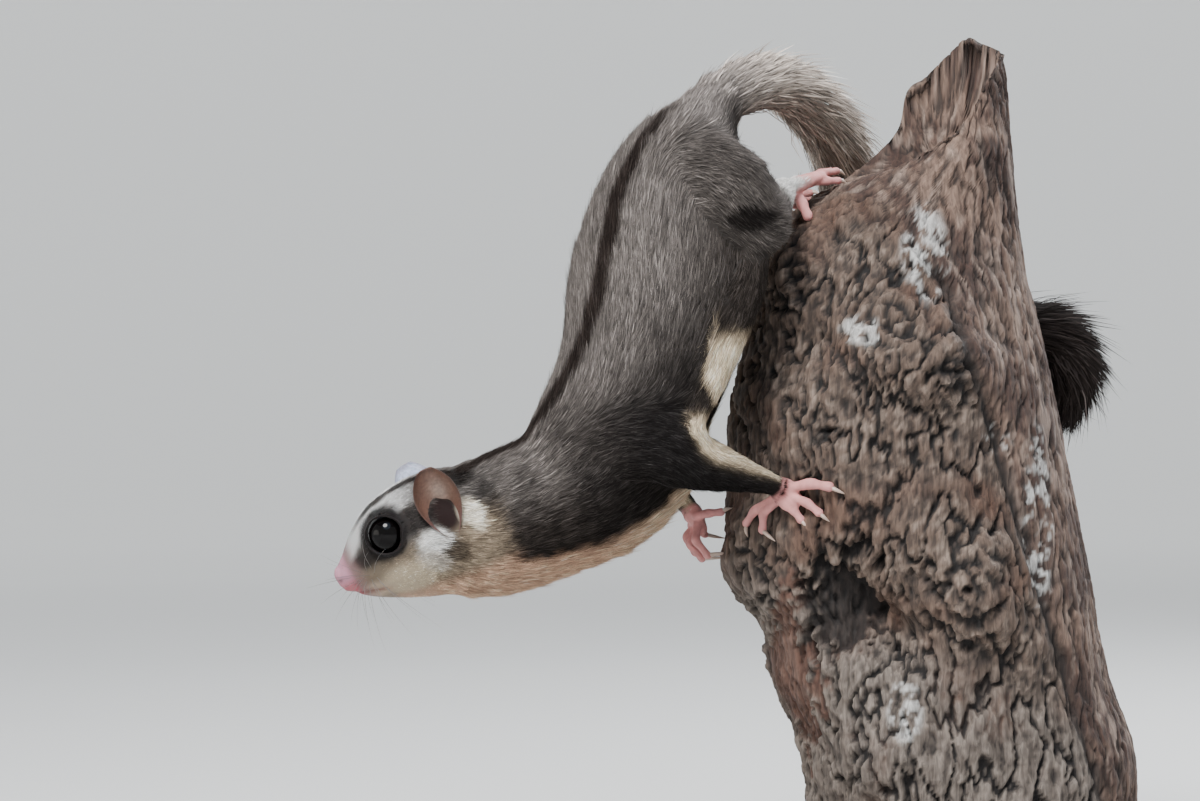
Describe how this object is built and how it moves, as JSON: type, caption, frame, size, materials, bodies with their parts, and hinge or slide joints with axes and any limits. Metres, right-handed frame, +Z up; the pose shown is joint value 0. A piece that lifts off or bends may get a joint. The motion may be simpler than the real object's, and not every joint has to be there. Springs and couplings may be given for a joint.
{
  "type": "sugar glider model",
  "caption": "Life-size still model of a sugar glider climbing head down on a broken snag, tail arched over it, on a flat display stand.",
  "frame": {"origin": "middle of the underside of the stand's base", "axes": "+Z up, the glider's nose towards -X, its left side and back towards -Y, the snag on the +X side"},
  "size_m": [0.2651, 0.14, 0.2502],
  "materials": {
    "back_fur": "short grey-brown fur",
    "face_fur": "very short grey and cream fur",
    "belly_fur": "cream fur of the belly and the edge of the gliding skin",
    "tail_fur": "long soft pale grey-brown fur",
    "tail_tip_fur": "long charcoal fur",
    "pink_skin": "bare pink skin",
    "ear_skin": "thin bare brown skin",
    "eye_gloss": "wet gloss",
    "snag_wood": "weathered bark and bare grain",
    "stand_wood": "dark satin lacquer",
    "rod_steel": "brushed"
  },
  "bodies": {
    "root": {"head": "face_fur", "eye_left": "eye_gloss", "eye_right": "eye_gloss", "ear_left": "ear_skin", "ear_right": "ear_skin", "neck": "back_fur", "torso": "back_fur", "upper_arm_left": "back_fur", "forearm_left": "back_fur", "hand_left": "pink_skin", "upper_arm_right": "back_fur", "forearm_right": "back_fur", "hand_right": "pink_skin", "thigh_left": "back_fur", "shin_left": "back_fur", "foot_left": "pink_skin", "thigh_right": "back_fur", "shin_right": "back_fur", "foot_right": "pink_skin", "patagium_left": "belly_fur", "patagium_right": "belly_fur", "tail_root": "tail_fur", "tail_arch": "tail_fur", "tail_middle": "tail_fur", "tail_tip": "tail_tip_fur", "perch_snag": "snag_wood", "stand_base": "stand_wood", "stand_rod_left": "rod_steel", "stand_rod_right": "rod_steel"}
  },
  "joints": []
}
